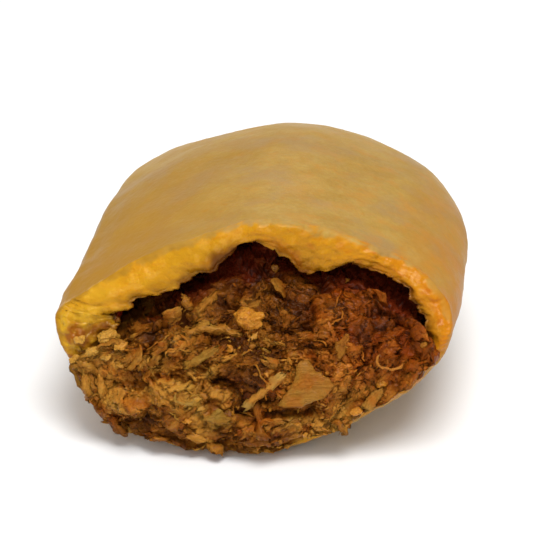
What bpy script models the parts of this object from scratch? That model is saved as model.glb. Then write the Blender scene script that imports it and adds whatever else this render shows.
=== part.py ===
"""A peeled corn-masa tamale, broken open across the middle so that its shredded beef shows.

Metres, +Z up. The broken mouth faces -Y and the closed, rounded end +Y. The part rests on a small
flat spot, and its origin is under the middle of its bounding box. Both pieces are lofts of rings:
a ring goes round the Y axis, and its angle runs anticlockwise seen from the mouth, with 0 at the
right edge (+X), 90 degrees at the crown and 270 degrees at the underside.
"""

import math

import bmesh
import bpy
from mathutils import Vector, noise

# The masa's outer form
RIGHT_HALF = 0.0340  # from the crown line to the right edge
LEFT_HALF = 0.0335  # from the crown line to the sharper left edge
LEFT_EDGE_Z = 0.0215  # heights of the pillow's two side edges
RIGHT_EDGE_Z = 0.0225
CROWN_Z = 0.0382
BELLY_Z = -0.0012  # the underside before the flat spot is pressed into it
AXIS_Z = 0.0205  # the rings' shared axis
WIDEST_Y = -0.0230  # the body tapers from here to the closed end
BACK_Y = 0.0400
LEFT_NARROWING = 0.10  # share of its width that the left side loses towards the back
FLATTEN_Y = 0.0060  # from here to WIDEST_Y the left slope flattens towards the mouth
# How each side tapers towards the closed end: how late, and how squarely
RIGHT_TAPER = (3.4, 2.2)
LEFT_TAPER = (7.0, 4.0)
CROWN_TAPER = (3.2, 2.0)
BELLY_TAPER = (4.0, 2.2)
# How each quarter of a section curves: how far its height holds out from the crown line, and how fully
RIGHT_ABOVE = (1.15, 1.95)
RIGHT_BELOW = (0.8, 1.9)
LEFT_ABOVE = (1.0, 1.45)
LEFT_ABOVE_MOUTH = (0.8, 1.35)
LEFT_BELOW = (1.7, 1.7)
CROWN_SOFTNESS = 0.22
MOUTH_Y = -0.0260  # where the masa is broken off, at its side edges
RIGHT_PINCH = 0.0020  # how much the right side draws in at the mouth
PINCH_FADE = 3  # how fast that fades towards the back
# How far the lip stands back from there, evenly spaced round it from the right edge
SETBACK = (
    *(0.0020, 0.0055, 0.0080, 0.0076, 0.0060, 0.0050, 0.0036, 0.0018),
    *(0.0005, -0.0010, -0.0021, -0.0028, -0.0030, -0.0022, -0.0011, 0.0004),
)
LUMP = 0.0005
LUMP_SIZE = 0.013

# The masa's wall at the mouth, evenly spaced round it from the right edge: a thin right side, a flap
# that hangs from the roof, a pointed notch at the crown and a thick left corner
WALL = (
    *(0.0040, 0.0042, 0.0040, 0.0084, 0.0036, 0.0062, 0.0078, 0.0088),
    *(0.0090, 0.0046, 0.0028, 0.0030, 0.0034, 0.0030, 0.0026, 0.0030),
)
RAGGED = 0.0009  # how far the wall strays from those values
RAGGED_TURNS = 6.0  # how fast it does so round the ring
BACK_WALL = 0.0085
TEAR_DEPTH = 0.0012  # how far the torn lip wanders along Y
TEAR_TURNS = 2.6

# The filling
GAP = 0.0005  # clearance between the two solids
# How far the meat has sunk from the wall at the mouth, spaced as WALL
ROOF_GAP = (
    *(0.0008, 0.0045, 0.0062, 0.0026, 0.0052, 0.0030, 0.0030, 0.0056),
    *(0.0025, 0.0, 0.0, 0.0, 0.0, 0.0, 0.0, 0.0),
)
ROOF_GAP_DEPTH = 0.0200  # the hollow closes this far behind the lip
ROOF_GAP_FADE = 1.5
HEAP_Y = -0.0345  # the foremost meat
HEAP_SLOPE = 0.42  # how fast the heap's front leans back with height
HEAP_FOOT_Z = 0.008
HEAP_MIDDLE = Vector((0.001, HEAP_Y, 0.0190))
HEAP_FULLNESS = 2.4  # how squarely the heap bulges
HEAP_LUMP = 0.0016
HEAP_LUMP_SIZE = 0.0065
HEAP_RIM_SHARE = 1 / 3  # the share of the heap, next to its rim, over which the lumps fade out
# How far the meat spreads over the lip, spaced as WALL
SPILL = (
    *(0.0024, 0.0010, 0.0, 0.0, 0.0, 0.0, 0.0, 0.0),
    *(0.0004, 0.0026, 0.0028, 0.0028, 0.0030, 0.0028, 0.0026, 0.0028),
)
SPILL_CLEAR = 0.0008
SPILL_SAG = 0.0018

# Mesh density
RING_POINTS = 60
BODY_RINGS = 18
CAVITY_RINGS = 14
HEAP_RINGS = 13


def between(values, angle):
    """The named values, spaced evenly round the ring, joined by a smooth curve."""
    step = angle / math.tau * len(values)
    low = math.floor(step)
    ease = 0.5 - 0.5 * math.cos((step - low) * math.pi)
    return values[low % len(values)] * (1 - ease) + values[(low + 1) % len(values)] * ease


def depth_share(y):
    """0 up to where the taper starts, 1 at the tip of the closed end."""
    return min(max((y - WIDEST_Y) / (BACK_Y - WIDEST_Y), 0.0), 1.0)


def taper(depth, roundness, fullness):
    """1 at the mouth, falling to 0 at the closed end."""
    return (1.0 - depth**roundness) ** (1.0 / fullness)


def arch(share, curve, fullness):
    """A section's height share, 1 over the crown line and 0 at the side edge, with no crease between."""
    rise = math.hypot(share, CROWN_SOFTNESS) - CROWN_SOFTNESS
    soft = rise / (math.hypot(1.0, CROWN_SOFTNESS) - CROWN_SOFTNESS)
    return (1.0 - min(soft, 1.0) ** curve) ** (1.0 / fullness)


def skin_point(angle, y):
    """A point of the masa's outer surface: a pillow with a straight left slope and a full right side."""
    across = math.cos(angle)
    share = abs(across)
    depth = depth_share(y)
    middle_z = (LEFT_EDGE_Z + RIGHT_EDGE_Z) / 2
    if across > 0:
        half = RIGHT_HALF * taper(depth, *RIGHT_TAPER) - RIGHT_PINCH * (1.0 - depth) ** PINCH_FADE
        edge_z = middle_z + (RIGHT_EDGE_Z - middle_z) * share
        above, below = arch(share, *RIGHT_ABOVE), arch(share, *RIGHT_BELOW)
    else:
        half = LEFT_HALF * taper(depth, *LEFT_TAPER) * (1.0 - LEFT_NARROWING * depth)
        edge_z = middle_z + (LEFT_EDGE_Z - middle_z) * share
        near_mouth = min(max((FLATTEN_Y - y) / (FLATTEN_Y - WIDEST_Y), 0.0), 1.0)
        above = arch(share, *LEFT_ABOVE) * (1 - near_mouth) + arch(share, *LEFT_ABOVE_MOUTH) * near_mouth
        below = arch(share, *LEFT_BELOW)
    if math.sin(angle) >= 0:
        z = edge_z + (CROWN_Z - edge_z) * above * taper(depth, *CROWN_TAPER)
    else:
        z = edge_z + (BELLY_Z - edge_z) * below * taper(depth, *BELLY_TAPER)
    point = Vector((across * half, y, z))
    point += (point - axis_point(y)).normalized() * LUMP * noise.noise(point / LUMP_SIZE)
    return Vector((point.x, point.y, max(point.z, 0.0)))


def axis_point(y):
    return Vector((0.0, y, AXIS_Z))


def lip_y(angle):
    """Where the skin is torn off."""
    wander = noise.noise(Vector((math.cos(angle), math.sin(angle), 0.4)) * TEAR_TURNS)
    return MOUTH_Y + between(SETBACK, angle) + TEAR_DEPTH * wander


def wall_share(angle):
    """The cavity's radius as a share of the skin's, at the mouth."""
    ragged = RAGGED * noise.noise(Vector((math.cos(angle), math.sin(angle), 2.0)) * RAGGED_TURNS)
    wall = between(WALL, angle) + ragged
    reach = (skin_point(angle, lip_y(angle)) - axis_point(lip_y(angle))).length
    return 1.0 - wall / reach


def shrink(point, share):
    axis = axis_point(point.y)
    return axis + (point - axis) * share


def cavity_point(angle, along, clear=0.0):
    """The masa's inner surface. along is 0 at the lip and 1 at the blind end."""
    front = lip_y(angle)
    skin = skin_point(angle, front + (BACK_Y - front) * along)
    reach = (skin_point(angle, front) - axis_point(front)).length
    point = shrink(skin, wall_share(angle) - clear / reach)
    point.y = front + (BACK_Y - BACK_WALL - clear - front) * along
    return point


def sunk(point, angle):
    """The meat's surface, drawn in from the wall by the hollow under the roof."""
    behind = (point.y - lip_y(angle)) / ROOF_GAP_DEPTH
    fade = min(max(1.0 - behind, 0.0), 1.0)
    reach = (point - axis_point(point.y)).length
    return shrink(point, 1.0 - between(ROOF_GAP, angle) * fade**ROOF_GAP_FADE / reach)


def ring_angles():
    return [math.tau * i / RING_POINTS for i in range(RING_POINTS)]


def eased(count):
    """0 to 1 in steps that grow smaller towards 1, for the rounded end."""
    return [math.sin(0.5 * math.pi * i / count) for i in range(count)]


def masa_rings():
    """From the tip of the closed end over the skin to the lip, then back inside the cavity."""
    rings = []
    for along in reversed(eased(BODY_RINGS)):
        rings.append([skin_point(a, lip_y(a) + (BACK_Y - lip_y(a)) * along) for a in ring_angles()])
    for along in eased(CAVITY_RINGS):
        rings.append([cavity_point(a, along) for a in ring_angles()])
    return rings, Vector((0, BACK_Y, AXIS_Z)), Vector((0, BACK_Y - BACK_WALL, AXIS_Z))


def meat_ring(along):
    """A ring of filling inside the cavity, sunk below the roof near the mouth."""
    return [sunk(cavity_point(angle, along, GAP), angle) for angle in ring_angles()]


def spilled(point, angle, share):
    """The rim moved clear of the lip, and then (share 1) spread over it."""
    axis = axis_point(point.y)
    out = shrink(point, 1.0 + share * between(SPILL, angle) / (point - axis).length)
    out.y -= SPILL_CLEAR + share * SPILL_SAG * max(-math.sin(angle), 0.0)
    return out


def heap_point(rim, share):
    """The heap's front, from its rim (share 1) to its middle (share 0): steep above, full below."""
    point = HEAP_MIDDLE.lerp(rim, share)
    bulge = 1.0 - share**HEAP_FULLNESS
    point.y = rim.y + (HEAP_Y + (point.z - HEAP_FOOT_Z) * HEAP_SLOPE - rim.y) * bulge
    lump = HEAP_LUMP * noise.noise(point / HEAP_LUMP_SIZE)
    point.y += lump * min(1.0, (1.0 - share) / HEAP_RIM_SHARE)
    return point


def filling_rings():
    """From the blind end to the mouth, then over the heap that bulges out of it."""
    rings = [meat_ring(along) for along in reversed(eased(CAVITY_RINGS))]
    mouth = list(zip(rings[-1], ring_angles()))
    rings.append([spilled(point, angle, 0.0) for point, angle in mouth])
    rim = [spilled(point, angle, 1.0) for point, angle in mouth]
    for step in range(HEAP_RINGS):
        share = math.cos(0.5 * math.pi * step / HEAP_RINGS)
        rings.append([heap_point(point, share) for point in rim])
    return rings, Vector((0, BACK_Y - BACK_WALL - GAP, AXIS_Z)), heap_point(rim[0], 0.0)


def loft(name, rings, first_tip, last_tip, material, collection):
    """One closed body through the rings, closed by a fan at each end."""
    bm = bmesh.new()
    loops = [[bm.verts.new(point) for point in ring] for ring in rings]
    count = len(loops[0])
    for near, far in zip(loops, loops[1:]):
        for i in range(count):
            j = (i + 1) % count
            bm.faces.new((near[i], near[j], far[j], far[i]))
    for loop, tip in ((loops[0], first_tip), (loops[-1], last_tip)):
        end = bm.verts.new(tip)
        for i in range(count):
            bm.faces.new((loop[i], loop[(i + 1) % count], end))
    bmesh.ops.recalc_face_normals(bm, faces=bm.faces)
    mesh = bpy.data.meshes.new(name)
    bm.to_mesh(mesh)
    bm.free()
    mesh.shade_smooth()
    mesh.materials.append(material)
    piece = bpy.data.objects.new(name, mesh)
    collection.objects.link(piece)
    return piece


def food_material(name, colour, roughness):
    material = bpy.data.materials.new(name)
    material.use_nodes = True
    shader = material.node_tree.nodes["Principled BSDF"]
    shader.inputs["Base Color"].default_value = (*colour, 1.0)
    shader.inputs["Roughness"].default_value = roughness
    shader.inputs["Metallic"].default_value = 0.0
    return material


def centre_on_origin(pieces):
    """Moves the meshes so that the origin is under the middle of their bounding box."""
    points = [vertex.co for piece in pieces for vertex in piece.data.vertices]
    low = Vector([min(point[i] for point in points) for i in range(3)])
    high = Vector([max(point[i] for point in points) for i in range(3)])
    shift = Vector(((low.x + high.x) / 2, (low.y + high.y) / 2, low.z))
    for piece in pieces:
        for vertex in piece.data.vertices:
            vertex.co -= shift


def main():
    for old in list(bpy.data.objects):
        bpy.data.objects.remove(old, do_unlink=True)
    tamale = bpy.data.collections.new("tamale")
    bpy.context.scene.collection.children.link(tamale)
    masa = loft("masa", *masa_rings(), food_material("masa", (0.52, 0.32, 0.09), 0.6), tamale)
    filling = loft(
        "filling", *filling_rings(), food_material("filling", (0.19, 0.07, 0.02), 0.55), tamale
    )
    centre_on_origin([masa, filling])


main()
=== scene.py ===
"""The looks of a peeled tamale, broken open: steamed corn masa round a heap of shredded beef.

Metres, +Z up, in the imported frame: the broken mouth faces -Y. The masa and the core of the filling
are lofts of rings round the Y axis. A ring's angle runs anticlockwise seen from the mouth, with 0 at
the right edge (+X), 90 degrees at the crown and 270 degrees at the underside. The shapes are made in
the maker's own place and then moved into the frame by FIT.
"""

import math

import bmesh
import bpy
import numpy as np
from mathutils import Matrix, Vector, noise
from mathutils.bvhtree import BVHTree
from mathutils.kdtree import KDTree


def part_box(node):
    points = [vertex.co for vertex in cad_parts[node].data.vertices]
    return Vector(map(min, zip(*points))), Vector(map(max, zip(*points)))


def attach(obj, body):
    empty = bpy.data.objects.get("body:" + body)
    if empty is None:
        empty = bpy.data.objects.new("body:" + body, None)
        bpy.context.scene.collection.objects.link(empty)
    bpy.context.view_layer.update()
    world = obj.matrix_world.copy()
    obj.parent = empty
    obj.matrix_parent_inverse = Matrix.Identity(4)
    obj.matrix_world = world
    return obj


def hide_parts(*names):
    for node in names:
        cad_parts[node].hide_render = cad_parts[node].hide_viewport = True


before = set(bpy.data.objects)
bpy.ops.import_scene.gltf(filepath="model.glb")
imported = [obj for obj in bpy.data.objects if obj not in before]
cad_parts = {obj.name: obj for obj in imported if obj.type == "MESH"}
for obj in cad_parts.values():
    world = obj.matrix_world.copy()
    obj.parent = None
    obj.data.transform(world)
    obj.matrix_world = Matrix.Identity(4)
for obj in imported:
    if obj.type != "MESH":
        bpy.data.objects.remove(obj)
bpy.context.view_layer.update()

# The masa's outer form, as the solid model has it
RIGHT_HALF = 0.0340
LEFT_HALF = 0.0335
LEFT_EDGE_Z = 0.0215
RIGHT_EDGE_Z = 0.0225
CROWN_Z = 0.0382
BELLY_Z = -0.0012
AXIS_Z = 0.0205
WIDEST_Y = -0.0230
BACK_Y = 0.0400
LEFT_NARROWING = 0.10
FLATTEN_Y = 0.0060
RIGHT_TAPER = (3.4, 2.2)
LEFT_TAPER = (7.0, 4.0)
CROWN_TAPER = (3.2, 2.0)
BELLY_TAPER = (4.0, 2.2)
RIGHT_ABOVE = (1.15, 1.95)
RIGHT_BELOW = (0.8, 1.9)
LEFT_ABOVE = (1.0, 1.45)
LEFT_ABOVE_MOUTH = (0.8, 1.35)
LEFT_BELOW = (1.7, 1.7)
CROWN_SOFTNESS = 0.22
MOUTH_Y = -0.0260
RIGHT_PINCH = 0.0020
SETBACK = (
    *(0.0020, 0.0055, 0.0080, 0.0076, 0.0060, 0.0050, 0.0036, 0.0018),
    *(0.0005, -0.0010, -0.0021, -0.0028, -0.0030, -0.0022, -0.0011, 0.0004),
)
LUMP = 0.0005
LUMP_SIZE = 0.013
WALL = (
    *(0.0040, 0.0042, 0.0040, 0.0084, 0.0036, 0.0062, 0.0078, 0.0088),
    *(0.0090, 0.0046, 0.0028, 0.0030, 0.0034, 0.0030, 0.0026, 0.0030),
)
RAGGED = 0.0009
BACK_WALL = 0.0085
TEAR_DEPTH = 0.0012

# The filling's form, as the solid model has it, but lower at the hollow's left end and further over
# the lip at the lower left
GAP = 0.0005
ROOF_GAP = (
    *(0.0008, 0.0045, 0.0062, 0.0026, 0.0052, 0.0030, 0.0030, 0.0074),
    *(0.0072, 0.0, 0.0, 0.0, 0.0, 0.0, 0.0, 0.0),
)
ROOF_GAP_DEPTH = 0.0200
HEAP_Y = -0.0345
HEAP_SLOPE = 0.42
HEAP_FOOT_Z = 0.008
HEAP_MIDDLE = np.array((0.001, HEAP_Y, 0.0190))
HEAP_LUMP = 0.0016
HEAP_LUMP_SIZE = 0.0065
SPILL = (
    *(0.0024, 0.0010, 0.0, 0.0, 0.0, 0.0, 0.0, 0.0),
    *(0.0006, 0.0056, 0.0050, 0.0032, 0.0030, 0.0028, 0.0026, 0.0028),
)
SPILL_CLEAR = 0.0008
SPILL_SAG = 0.0018

# The tear: angle, half width and depth of what is missing from the roof's inner edge (or hangs from it)
BITES = (
    *((97, 5, 0.0020), (70, 7, -0.0004), (56, 2.5, 0.0014), (48, 3, -0.0006), (31, 4, 0.0005)),
    *((109, 4, 0.0005), (128, 6, -0.0006), (146, 4, 0.0008), (166, 5, 0.0006), (183, 8, -0.0020)),
)
LOWEST = 0.0002  # how far above the floor the meat stays
LIP_SWELL = 0.0011
LIP_LEAN = 0.0014
# Places round the mouth that look different, each by its angle and half width in degrees
LEFT_RIDGE = (163, 5)
CRUMBLY_LEFT = (180, 20)
CRUMBLY_RIGHT = (62, 26)
STAINED_LEFT = (184, 19)
# Under the peak the torn inner wall is darkened with painted shade
SHADED_PEAK = (104, 8)
RIDGE_HEIGHT = 0.00030
PROUD_EDGE = 0.00022  # how far the skin stands out along the tear
PROUD_FADE = 0.0012

ROUND = 480
SKIN_ROWS = 112
LIP_ROWS = 26
CAVITY_ROWS = 58
CORE_ROUND = 480
CORE_REAR_ROWS = 64
RIM_ROWS = 8
HEAP_ROWS = 124

MM = 0.001
DEGREE = math.pi / 180


# Form


def ripple(points, size, seed=0.0):
    """Smooth noise of about -0.7 to 0.7 over an array of points, with features of the named size."""
    points = np.asarray(points, float)
    spots = (points / size + seed).reshape(-1, 3).tolist()
    return np.array([noise.noise(spot) for spot in spots]).reshape(points.shape[:-1])


def ring_ripple(angle, turns, seed):
    """Noise round a ring, with about that many features in a radian."""
    ring = np.stack([np.cos(angle) * turns, np.sin(angle) * turns, np.full_like(angle, seed)], -1)
    return ripple(ring, 1.0)


def smooth_step(value, low, high):
    share = np.clip((value - low) / (high - low), 0.0, 1.0)
    return share * share * (3.0 - 2.0 * share)


def hump(value, middle, half_width):
    return np.exp(-(((value - middle) / half_width) ** 2))


def near_angle(angle, middle, half_width):
    """1 at an angle of the ring, given in degrees, and 0 well away from it."""
    return hump(angle, middle * DEGREE, half_width * DEGREE)


def between(values, angle):
    step = angle / math.tau * len(values)
    low = np.floor(step).astype(int)
    ease = 0.5 - 0.5 * np.cos((step - low) * math.pi)
    values = np.array(values)
    return values[low % len(values)] * (1 - ease) + values[(low + 1) % len(values)] * ease


def taper(depth, roundness, fullness):
    return (1.0 - depth**roundness) ** (1.0 / fullness)


def arch(share, curve, fullness):
    rise = np.hypot(share, CROWN_SOFTNESS) - CROWN_SOFTNESS
    soft = rise / (math.hypot(1.0, CROWN_SOFTNESS) - CROWN_SOFTNESS)
    return (1.0 - np.minimum(soft, 1.0) ** curve) ** (1.0 / fullness)


def axis_at(y):
    y = np.asarray(y, float)
    return np.stack([np.zeros_like(y), y, np.full_like(y, AXIS_Z)], -1)


def length_of(vectors):
    return np.linalg.norm(vectors, axis=-1, keepdims=True)


def skin_form(angle, y):
    """The masa's outer surface: a pillow with a straight left slope and a full right side."""
    angle, y = np.broadcast_arrays(angle, y)
    across = np.cos(angle)
    share = np.abs(across)
    right = across > 0
    depth = np.clip((y - WIDEST_Y) / (BACK_Y - WIDEST_Y), 0.0, 1.0)
    middle_z = (LEFT_EDGE_Z + RIGHT_EDGE_Z) / 2
    right_half = RIGHT_HALF * taper(depth, *RIGHT_TAPER) - RIGHT_PINCH * (1.0 - depth) ** 3
    left_half = LEFT_HALF * taper(depth, *LEFT_TAPER) * (1.0 - LEFT_NARROWING * depth)
    half = np.where(right, right_half, left_half)
    edge_z = middle_z + (np.where(right, RIGHT_EDGE_Z, LEFT_EDGE_Z) - middle_z) * share
    near_mouth = np.clip((FLATTEN_Y - y) / (FLATTEN_Y - WIDEST_Y), 0.0, 1.0)
    left_above = arch(share, *LEFT_ABOVE) * (1 - near_mouth) + arch(share, *LEFT_ABOVE_MOUTH) * near_mouth
    above = np.where(right, arch(share, *RIGHT_ABOVE), left_above)
    below = np.where(right, arch(share, *RIGHT_BELOW), arch(share, *LEFT_BELOW))
    top = edge_z + (CROWN_Z - edge_z) * above * taper(depth, *CROWN_TAPER)
    under = edge_z + (BELLY_Z - edge_z) * below * taper(depth, *BELLY_TAPER)
    point = np.stack([across * half, y, np.where(np.sin(angle) >= 0, top, under)], -1)
    out = point - axis_at(y)
    point = point + out / (length_of(out) + 1e-9) * (LUMP * ripple(point, LUMP_SIZE))[..., None]
    point[..., 2] = np.maximum(point[..., 2], 0.0)
    return point


def lip_line(angle):
    """How far along Y the skin is torn off."""
    return MOUTH_Y + between(SETBACK, angle) + TEAR_DEPTH * ring_ripple(angle, 2.6, 1.04)


def fine_tear(angle):
    return 0.55 * MM * ring_ripple(angle, 12.0, 3.1) + 0.30 * MM * ring_ripple(angle, 34.0, 5.7)


def wall_reach(angle):
    front = lip_line(angle)
    return length_of(skin_form(angle, front) - axis_at(front))[..., 0]


def wall_share(angle):
    """The cavity's radius as a share of the skin's, smooth as the solid model has it."""
    ragged = RAGGED * ring_ripple(angle, 6.0, 12.0)
    return 1.0 - (between(WALL, angle) + ragged) / wall_reach(angle)


def bitten(angle):
    """What the tear takes from the inner edge, as a share of the reach."""
    taken = np.zeros_like(angle)
    for middle, width, depth in BITES:
        taken = taken + depth * near_angle(angle, middle, width)
    taken = taken + 0.8 * MM * ring_ripple(angle, 9.0, 21.0) + 0.7 * MM * ring_ripple(angle, 24.0, 8.0)
    taken = taken + 0.35 * MM * ring_ripple(angle, 60.0, 4.0)
    return taken / wall_reach(angle)


def shrink(point, share):
    axis = axis_at(point[..., 1])
    return axis + (point - axis) * np.asarray(share)[..., None]


def cavity_form(angle, along, clear=0.0):
    front = lip_line(angle)
    skin = skin_form(angle, front + (BACK_Y - front) * along)
    point = shrink(skin, wall_share(angle) - clear / wall_reach(angle) + np.zeros_like(skin[..., 0]))
    point[..., 1] = front + (BACK_Y - BACK_WALL - clear - front) * along
    return point


def grid_normals(grid):
    across = np.roll(grid, -1, 1) - np.roll(grid, 1, 1)
    normal = np.cross(across, np.gradient(grid, axis=0))
    return normal / (length_of(normal) + 1e-12)


def closed_loft(grid, first_tip, last_tip):
    """Points and faces of one closed skin through rows of rings, with a fan at each end."""
    rows, columns = grid.shape[:2]
    points = np.vstack([grid.reshape(-1, 3), first_tip, last_tip])
    here = np.arange(rows * columns).reshape(rows, columns)
    beside = np.roll(here, -1, 1)
    quads = np.stack([here[:-1], beside[:-1], beside[1:], here[1:]], -1).reshape(-1, 4)
    first, last = rows * columns, rows * columns + 1
    fans = [(first, b, a) for a, b in zip(here[0], beside[0])]
    fans += [(a, b, last) for a, b in zip(here[-1], beside[-1])]
    return points, quads.tolist() + [tuple(int(i) for i in fan) for fan in fans]


def build_piece(name, points, faces, material, marks):
    """A mesh object with its named marks (a value or a vector at each point) that its material reads."""
    mesh = bpy.data.meshes.new(name)
    mesh.from_pydata(points.tolist(), [], faces)
    for label, values in marks.items():
        values = np.asarray(values, np.float32)
        kind, key = ("FLOAT_VECTOR", "vector") if values.ndim == 2 else ("FLOAT", "value")
        mesh.attributes.new(label, kind, "POINT").data.foreach_set(key, values.ravel())
    mesh.shade_smooth()
    mesh.materials.append(material)
    mesh.update()
    piece = bpy.data.objects.new(name, mesh)
    bpy.context.scene.collection.objects.link(piece)
    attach(piece, "root")
    return piece


# Materials


class Nodes:
    """The node tree of a finish or of a shared effect, with short words for what goes in it."""

    def __init__(self, tree):
        self.tree = tree

    def feed(self, node, inputs):
        """Each input is a plain value, or the socket that feeds it."""
        for key, value in inputs.items():
            if isinstance(value, bpy.types.NodeSocket):
                self.tree.links.new(value, node.inputs[key])
            else:
                node.inputs[key].default_value = value
        return node.outputs

    def place(self, kind, inputs, **settings):
        node = self.tree.nodes.new("ShaderNode" + kind)
        for name, value in settings.items():
            setattr(node, name, value)
        return self.feed(node, inputs)

    def use(self, group, **inputs):
        node = self.tree.nodes.new("ShaderNodeGroup")
        node.node_tree = group
        return self.feed(node, {name.replace("_", " "): value for name, value in inputs.items()})

    def blend(self, share, first, second, how="MIX"):
        return self.place("Mix", {0: share, 6: first, 7: second}, data_type="RGBA", blend_type=how)[2]

    def choose(self, share, first, second):
        return self.place("Mix", {0: share, 2: first, 3: second})[0]

    def reckon(self, operation, first, second=0.0):
        return self.place("Math", {0: first, 1: second}, operation=operation)[0]

    def times(self, first, second):
        return self.reckon("MULTIPLY", first, second)

    def plus(self, first, second):
        return self.reckon("ADD", first, second)

    def minus(self, first, second):
        return self.reckon("SUBTRACT", first, second)

    def spread(self, value, low, high, to_low=0.0, to_high=1.0):
        return self.place("MapRange", {0: value, 1: low, 2: high, 3: to_low, 4: to_high})[0]

    def cloud(self, vector, scale, detail=2.0, roughness=0.5, output=0):
        inputs = {"Vector": vector, "Scale": scale, "Detail": detail, "Roughness": roughness}
        return self.place("TexNoise", inputs)[output]

    def stretch(self, vector, factors):
        return self.place("VectorMath", {0: vector, 1: factors}, operation="MULTIPLY")[0]

    def mark(self, label, output="Fac"):
        return self.place("Attribute", {}, attribute_name=label)[output]


def shader_group(name, inputs, outputs):
    tree = bpy.data.node_groups.new(name, "ShaderNodeTree")
    for label, (kind, value) in inputs.items():
        socket = tree.interface.new_socket(label, in_out="INPUT", socket_type="NodeSocket" + kind)
        if value is not None:
            socket.default_value = value
    for label, kind in outputs.items():
        tree.interface.new_socket(label, in_out="OUTPUT", socket_type="NodeSocket" + kind)
    return Nodes(tree), tree.nodes.new("NodeGroupInput").outputs, tree.nodes.new("NodeGroupOutput").inputs


def dough_mottle_group():
    """Two shades of dough in soft patches, with flecks of chile oil."""
    inputs = {
        "Place": ("Vector", None),
        "Pale": ("Color", (1, 1, 1, 1)),
        "Deep": ("Color", (0, 0, 0, 1)),
        "Fleck": ("Color", (1, 0, 0, 1)),
        "Patch Scale": ("Float", 200.0),
        "Fleck Scale": ("Float", 600.0),
        "Fleck Share": ("Float", 0.5),
    }
    n, given, made = shader_group("dough_mottle", inputs, {"Colour": "Color"})
    broad = n.cloud(given["Place"], given["Patch Scale"], 4.0, 0.55)
    fine = n.cloud(given["Place"], n.times(given["Patch Scale"], 7.0), 3.0, 0.6)
    both = n.plus(n.times(broad, 0.6), n.times(fine, 0.4))
    colour = n.blend(n.spread(both, 0.38, 0.62), given["Deep"], given["Pale"])
    fleck = n.spread(n.cloud(given["Place"], given["Fleck Scale"], 2.0, 0.5), 0.60, 0.72)
    share = n.times(fleck, given["Fleck Share"])
    n.tree.links.new(n.blend(share, colour, given["Fleck"]), made["Colour"])
    return n.tree


def corn_grain_group():
    """The height of ground corn: rounded grains, and fine pits between them."""
    inputs = {"Place": ("Vector", None), "Grain Scale": ("Float", 900.0), "Pit Share": ("Float", 0.4)}
    n, given, made = shader_group("corn_grain", inputs, {"Height": "Float", "Grains": "Float"})
    wobble = n.cloud(given["Place"], given["Grain Scale"], output="Color")
    bent = n.stretch(wobble, (0.0006, 0.0006, 0.0006))
    spot = n.place("VectorMath", {0: given["Place"], 1: bent}, operation="ADD")[0]
    cells = n.place("TexVoronoi", {"Vector": spot, "Scale": given["Grain Scale"]})
    grains = n.spread(cells["Distance"], 0.05, 0.75, 1.0, 0.0)
    pits = n.spread(n.cloud(given["Place"], n.times(given["Grain Scale"], 2.2)), 0.30, 0.5)
    pitted = n.times(pits, given["Pit Share"])
    n.tree.links.new(n.plus(grains, pitted), made["Height"])
    n.tree.links.new(grains, made["Grains"])
    return n.tree


def moist_film_group():
    """Where juice or fat lies on the food, and the roughness that follows from it."""
    inputs = {
        "Place": ("Vector", None),
        "Film Scale": ("Float", 350.0),
        "Cover": ("Float", 0.5),
        "Dry": ("Float", 0.6),
        "Wet": ("Float", 0.25),
    }
    n, given, made = shader_group("moist_film", inputs, {"Roughness": "Float", "Film": "Float"})
    cover = n.cloud(given["Place"], given["Film Scale"], 4.0, 0.6)
    edge = n.minus(0.95, given["Cover"])
    film = n.spread(n.minus(cover, edge), -0.25, 0.05)
    dryness = n.times(n.minus(given["Dry"], given["Wet"]), film)
    n.tree.links.new(n.minus(given["Dry"], dryness), made["Roughness"])
    n.tree.links.new(film, made["Film"])
    return n.tree


def meat_fibre_group():
    """Colour and height of cooked muscle fibre, which runs along the second axis of Grain."""
    inputs = {
        "Grain": ("Vector", None),
        "Place": ("Vector", None),
        "Tone": ("Float", 0.5),
        "Dark": ("Color", (0, 0, 0, 1)),
        "Middle": ("Color", (0.5, 0.5, 0.5, 1)),
        "Pale": ("Color", (1, 1, 1, 1)),
    }
    n, given, made = shader_group("meat_fibre", inputs, {"Colour": "Color", "Height": "Float"})
    long_way = n.stretch(given["Grain"], (3200.0, 420.0, 1000.0))
    streaks = n.cloud(long_way, 1.0, 3.0, 0.6)
    blotch = n.cloud(given["Place"], 420.0, 3.0, 0.6)
    lifted = n.plus(n.times(streaks, 0.50), n.times(blotch, 0.34))
    value = n.plus(n.minus(lifted, 0.42), given["Tone"])
    lower = n.blend(n.spread(value, 0.15, 0.5), given["Dark"], given["Middle"])
    colour = n.blend(n.spread(value, 0.5, 0.85), lower, given["Pale"])
    drift = n.cloud(given["Place"], 260.0, 2.0)
    colour = n.blend(n.spread(drift, 0.54, 0.66), colour, (1.0, 0.74, 0.50, 1), "MULTIPLY")
    colour = n.blend(n.spread(drift, 0.46, 0.34), colour, (0.94, 1.06, 1.12, 1), "MULTIPLY")
    n.tree.links.new(colour, made["Colour"])
    n.tree.links.new(streaks, made["Height"])
    return n.tree


DOUGH_MOTTLE = dough_mottle_group()
CORN_GRAIN = corn_grain_group()
MOIST_FILM = moist_film_group()
MEAT_FIBRE = meat_fibre_group()


def start_material(name, subsurface, radius, depth, shine, shine_tint):
    material = bpy.data.materials.new(name)
    material.use_nodes = True
    n = Nodes(material.node_tree)
    shader = n.tree.nodes["Principled BSDF"]
    values = {
        "Metallic": 0.0,
        "IOR": 1.45,
        "Subsurface Weight": subsurface,
        "Subsurface Radius": radius,
        "Subsurface Scale": depth,
        "Specular IOR Level": shine,
        "Specular Tint": shine_tint,
        "Coat Roughness": 0.20,
    }
    n.feed(shader, values)
    return material, n, shader, n.place("TexCoord", {})["Object"]


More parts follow.
